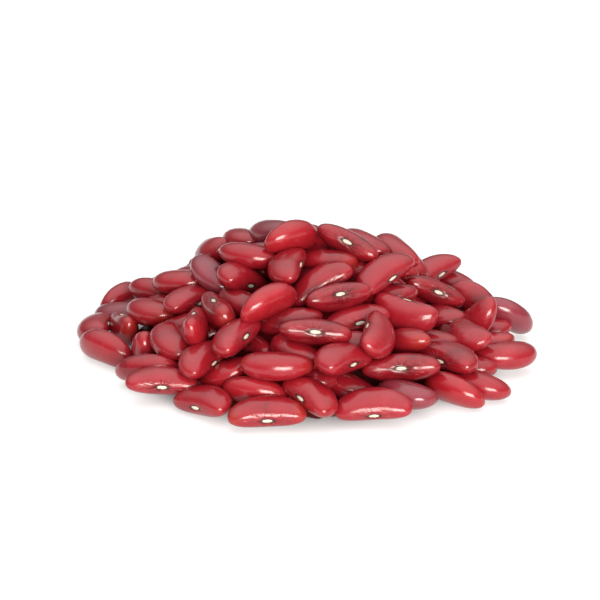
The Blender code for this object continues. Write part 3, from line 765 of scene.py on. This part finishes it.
class Nodes:
    """A material's node tree, and short ways to add to it."""

    def __init__(self, name):
        self.material = bpy.data.materials.new(name)
        self.material.use_nodes = True
        self.tree = self.material.node_tree
        self.shader = self.tree.nodes["Principled BSDF"]

    def put(self, socket, value):
        if isinstance(value, bpy.types.NodeSocket):
            self.tree.links.new(value, socket)
        else:
            socket.default_value = value

    def node(self, kind, inputs=(), **settings):
        node = self.tree.nodes.new(kind)
        for setting, value in settings.items():
            setattr(node, setting, value)
        for socket, value in dict(inputs).items():
            self.put(node.inputs[socket], value)
        return node

    def math(self, operation, first, second=0.0, third=0.0):
        node = self.node("ShaderNodeMath", operation=operation)
        for socket, value in zip(node.inputs, (first, second, third)):
            self.put(socket, value)
        return node.outputs[0]

    def vector(self, operation, *values):
        node = self.node("ShaderNodeVectorMath", operation=operation)
        for socket, value in zip(node.inputs, values):
            self.put(socket, value)
        return node.outputs[0]

    def step(self, value, low, high, low_value=0.0, high_value=1.0):
        """Goes smoothly from one value to another as the input passes from low to high."""
        node = self.node("ShaderNodeMapRange", interpolation_type="SMOOTHSTEP")
        for socket, number in zip(node.inputs, (value, low, high, low_value, high_value)):
            self.put(socket, number)
        return node.outputs[0]

    def blend(self, share, first, second):
        node = self.node("ShaderNodeMix", data_type="RGBA")
        self.put(node.inputs["Factor"], share)
        self.put(node.inputs[6], first)
        self.put(node.inputs[7], second)
        return node.outputs[2]

    def noise(self, vector, scale, detail=2.0, roughness=0.5):
        return self.node("ShaderNodeTexNoise", {"Vector": vector, "Scale": scale, "Detail": detail,
                                                "Roughness": roughness}).outputs["Fac"]

    def attribute(self, name):
        split = self.node("ShaderNodeSeparateXYZ")
        source = self.node("ShaderNodeAttribute", attribute_name=name)
        self.put(split.inputs[0], source.outputs["Vector"])
        return split.outputs, source.outputs["Vector"]


def bean_skin(name, specular, dark, middle, light):
    """Waxy red skin with cloudy tints, a pale scar in a dark wrinkled rim, and orange ends."""
    nodes = Nodes(name)
    (along, through, facing), place = nodes.attribute("place")
    (tint, orange, wrinkle), traits = nodes.attribute("traits")

    # Clouds and mottling, elsewhere in the noise for each bean
    spot = nodes.vector("MULTIPLY_ADD", traits, SPOT_SHIFT, place)
    clouds = nodes.noise(spot, CLOUD_SCALE, 3.0)
    mottle = nodes.noise(spot, MOTTLE_SCALE, 4.0, 0.6)
    shade = nodes.math("ADD", nodes.math("MULTIPLY", clouds, CLOUD_SHARE),
                       nodes.math("MULTIPLY", mottle, MOTTLE_SHARE))
    shade = nodes.math("ADD", shade, nodes.math("MULTIPLY_ADD", tint, TINT_GAIN, TINT_OFFSET))
    colour = nodes.blend(nodes.step(shade, *MIDDLE_SHADES), dark, middle)
    colour = nodes.blend(nodes.step(shade, *LIGHT_SHADES), colour, light)
    end = nodes.step(nodes.math("ABSOLUTE", along), *ORANGE_SPAN)
    end = nodes.math("MULTIPLY", end, orange)
    colour = nodes.blend(nodes.math("MULTIPLY", end, ORANGE_SHARE), colour, ORANGE)

    # Wrinkles that fan out from the scar, drawn on the side that faces the hilum, as grooves darkened
    # with painted shade
    in_front = nodes.step(facing, *HILUM_SIDE)
    scaled_along = nodes.math("DIVIDE", along, SCAR_HALF_LENGTH)
    scaled_through = nodes.math("DIVIDE", through, SCAR_HALF_WIDTH)
    ring = nodes.math("SQRT", nodes.math("ADD", nodes.math("POWER", scaled_along, 2.0),
                                         nodes.math("POWER", scaled_through, 2.0)))
    heading = nodes.node("ShaderNodeCombineXYZ", {"X": scaled_along, "Y": scaled_through})
    outward = nodes.vector("NORMALIZE", heading.outputs[0])
    rays = nodes.noise(nodes.vector("MULTIPLY_ADD", traits, RAY_SHIFT, outward), RAY_SCALE, 3.0, 0.6)
    near = nodes.math("MULTIPLY", in_front, nodes.step(ring, *WRINKLED_RINGS, 1.0, 0.0))
    streaks = nodes.math("MULTIPLY", nodes.step(rays, *RAY_EDGE), near)
    streaks = nodes.math("MULTIPLY", streaks, wrinkle)
    colour = nodes.blend(nodes.math("MULTIPLY", streaks, GROOVE_SHADE_SHARE), colour, GROOVE_SHADE_BROWN)

    # The dark rim and the pale scar, with a ragged edge
    ragged = nodes.math("ADD", ring, nodes.math("MULTIPLY_ADD", mottle, RAGGEDNESS, -RAGGEDNESS / 2))
    rim = nodes.math("MULTIPLY", in_front, nodes.step(ragged, *RIM_RINGS, 1.0, 0.0))
    colour = nodes.blend(nodes.math("MULTIPLY", rim, RIM_SHARE), colour, RIM_BROWN)
    scar = nodes.math("MULTIPLY", in_front, nodes.step(ragged, *SCAR_RINGS, 1.0, 0.0))
    colour = nodes.blend(scar, colour, nodes.blend(mottle, DARK_CREAM, LIGHT_CREAM))
    nodes.put(nodes.shader.inputs["Base Color"], colour)

    # The wax, duller on the rim, and fine relief
    rough = nodes.math("MULTIPLY_ADD", mottle, MOTTLE_ROUGHNESS, SKIN_ROUGHNESS)
    rough = nodes.math("ADD", rough, nodes.math("MULTIPLY", rim, RIM_ROUGHNESS))
    nodes.put(nodes.shader.inputs["Roughness"], rough)
    pits = nodes.math("MULTIPLY", nodes.noise(spot, PIT_SCALE, 1.0), PIT_HEIGHT)
    dimples = nodes.math("MULTIPLY", nodes.noise(spot, DIMPLE_SCALE, 1.0), DIMPLE_HEIGHT)
    height = nodes.math("ADD", pits, dimples)
    height = nodes.math("SUBTRACT", height, nodes.math("MULTIPLY", streaks, STREAK_DEPTH))
    bump = nodes.node("ShaderNodeBump", {"Strength": RELIEF_STRENGTH, "Distance": 1.0 / METRES_TO_MM,
                                         "Height": height})
    nodes.put(nodes.shader.inputs["Normal"], bump.outputs[0])
    nodes.put(nodes.shader.inputs["Specular IOR Level"], specular)
    return nodes.material


def core_painted_shade():
    # Painted shade: dark red cells standing in for the shadow deep in the heap
    nodes = Nodes("deep_bean_shade")
    texture = nodes.node("ShaderNodeTexCoord")
    cells = nodes.noise(texture.outputs["Object"], CORE_CELLS, 3.0)
    nodes.put(nodes.shader.inputs["Base Color"], nodes.blend(cells, CORE_SHADE_DARK, CORE_SHADE_RED))
    nodes.put(nodes.shader.inputs["Roughness"], CORE_ROUGHNESS)
    return nodes.material


def dress(piece, material):
    piece.data.materials.append(material)
    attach(piece, "root")
    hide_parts("bean_heap")


laid = laid_beans()
seen_screen = Heap()
for pose in laid[:len(SEEN_BEANS)]:
    seen_screen.keep(pose)
laid += lower_layer(laid, FILLING_DEPTH, FILLING_OVERLAP, FILLING_SEED, seen_screen)
draw = np.random.default_rng(RANDOM_SEED + 1)
traits = draw.uniform(0.0, 1.0, (len(laid), 3))
traits[:, 1] = np.where(traits[:, 1] > ORANGE_ABOVE, STRONG_ORANGE, FAINT_ORANGE)
traits[:, 2] = LEAST_WRINKLE + WRINKLE_SPREAD * traits[:, 2]
traits[list(ORANGE_ENDED), 1] = 1.0
traits[list(WRINKLED_BEANS), 2] = 1.0
traits[list(MAROON_BEANS), 0] = MAROON_TINT
kinds = np.array(["red"] * len(laid), dtype=object)
kinds[draw.uniform(0.0, 1.0, len(laid)) < OTHER_KIND_SHARE] = "bright"
kinds[draw.uniform(0.0, 1.0, len(laid)) < OTHER_KIND_SHARE] = "mauve"
kinds[:len(SEEN_BEANS)] = "red"
kinds[list(BRIGHT_BEANS)] = "bright"
kinds[list(MAUVE_SHEEN_BEANS)] = "mauve"
skins = {kind: bean_skin(f"{kind}_bean_skin", *look) for kind, look in SKIN_LOOKS.items()}
for seed, kind in enumerate(("red", "bright", "mauve")):
    members = np.nonzero(kinds == kind)[0]
    piece = joined_piece(f"beans_{kind}", [laid[member] for member in members], traits[members],
                         FINE_STATIONS, FINE_SIDES, seed)
    dress(piece, skins[kind])

# These under beans show only through the gaps, and their deep skin paints the shade there
under = lower_layer(laid, UNDER_DEPTH, UNDER_OVERLAP, UNDER_SEED)
under_traits = draw.uniform(0.0, MOST_UNDER_TRAIT, (len(under), 3))
under_piece = joined_piece("beans_under", under, under_traits, COARSE_STATIONS, COARSE_SIDES,
                           UNDER_SHAPE_SEED)
dress(under_piece, skins["deep"])
dress(core_piece(), core_painted_shade())

# A white floor that glows, with a painted shadow under the heap, soft studio light and the camera
PURE_WHITE = (1.0, 1.0, 1.0, 1.0)
WARM_WHITE = (1.0, 0.95, 0.88)
FLOOR_HALF = 3.0
FLOOR_WHITE = (0.45, 0.45, 0.45, 1.0)
FLOOR_ROUGHNESS = 0.9
SKY_AT_HORIZON = 0.28
SKY_RISES_FROM = 0.25
SKY_OVERHEAD = 2.2
SENSOR_WIDTH = 36.0

# The floor glows a little, to come out as white as in the photo, but not under the heap
# The glow is painted light, and where it fades out under the heap it paints a shadow
PAINTED_FLOOR_GLOW = 0.5
PAINTED_SHADOW_RADII = (0.041, 0.053)

floor_mesh = bpy.data.meshes.new("floor")
corners = [(-1.0, -1.0), (1.0, -1.0), (1.0, 1.0), (-1.0, 1.0)]
floor_mesh.from_pydata([(x * FLOOR_HALF, y * FLOOR_HALF, 0.0) for x, y in corners], [], [(0, 1, 2, 3)])
floor = add_object("floor", floor_mesh)
floor_nodes = Nodes("white_floor")
from_heap = floor_nodes.node("ShaderNodeVectorMath", operation="LENGTH")
floor_nodes.put(from_heap.inputs[0], floor_nodes.node("ShaderNodeTexCoord").outputs["Object"])
glow_and_painted_shadow = floor_nodes.step(from_heap.outputs["Value"], *PAINTED_SHADOW_RADII, 0.0, PAINTED_FLOOR_GLOW)
floor_nodes.put(floor_nodes.shader.inputs["Base Color"], FLOOR_WHITE)
floor_nodes.put(floor_nodes.shader.inputs["Roughness"], FLOOR_ROUGHNESS)
floor_nodes.put(floor_nodes.shader.inputs["Emission Color"], PURE_WHITE)
floor_nodes.put(floor_nodes.shader.inputs["Emission Strength"], glow_and_painted_shadow)
floor.data.materials.append(floor_nodes.material)

world = bpy.data.worlds.new("white_surroundings")
world.use_nodes = True
sky_tree = world.node_tree
sky_split = sky_tree.nodes.new("ShaderNodeSeparateXYZ")
sky_range = sky_tree.nodes.new("ShaderNodeMapRange")
sky_range.interpolation_type = "SMOOTHSTEP"
sky_range.inputs["From Min"].default_value = SKY_RISES_FROM
sky_range.inputs["To Min"].default_value = SKY_AT_HORIZON
sky_range.inputs["To Max"].default_value = SKY_OVERHEAD
sky_tree.links.new(sky_tree.nodes.new("ShaderNodeTexCoord").outputs["Generated"], sky_split.inputs[0])
sky_tree.links.new(sky_split.outputs["Z"], sky_range.inputs["Value"])
sky_tree.nodes["Background"].inputs["Color"].default_value = PURE_WHITE
sky_tree.links.new(sky_range.outputs[0], sky_tree.nodes["Background"].inputs["Strength"])
bpy.context.scene.world = world


def soft_light(name, azimuth, elevation, distance, width, height, power):
    """A lamp that faces the heap from an azimuth, 0 being the viewer's side."""
    turn, rise = np.radians([azimuth, elevation])
    back = np.array([np.sin(turn) * np.cos(rise), -np.cos(turn) * np.cos(rise), np.sin(rise)])
    data = bpy.data.lights.new(name, "AREA")
    data.shape = "RECTANGLE"
    data.size = width
    data.size_y = height
    data.energy = power
    data.color = WARM_WHITE
    lamp = add_object(name, data)
    lamp.location = AIM_POINT + distance * back
    lamp.rotation_mode = "QUATERNION"
    lamp.rotation_quaternion = Vector(-back).to_track_quat("-Z", "Y")


soft_light("low_front_box", azimuth=12.0, elevation=13.0, distance=0.90, width=0.55, height=0.34,
           power=14.5)

camera_data = bpy.data.cameras.new("camera")
camera_data.sensor_width = SENSOR_WIDTH
camera_data.lens = SENSOR_WIDTH * PICTURE_FOCAL / (2.0 * PICTURE_MIDDLE)
camera = add_object("camera", camera_data)
camera.location = EYE_POINT
camera.rotation_mode = "QUATERNION"
camera.rotation_quaternion = Vector(VIEW_ALONG).to_track_quat("-Z", "Y")
bpy.context.scene.camera = camera
bpy.context.scene.view_settings.view_transform = "Standard"
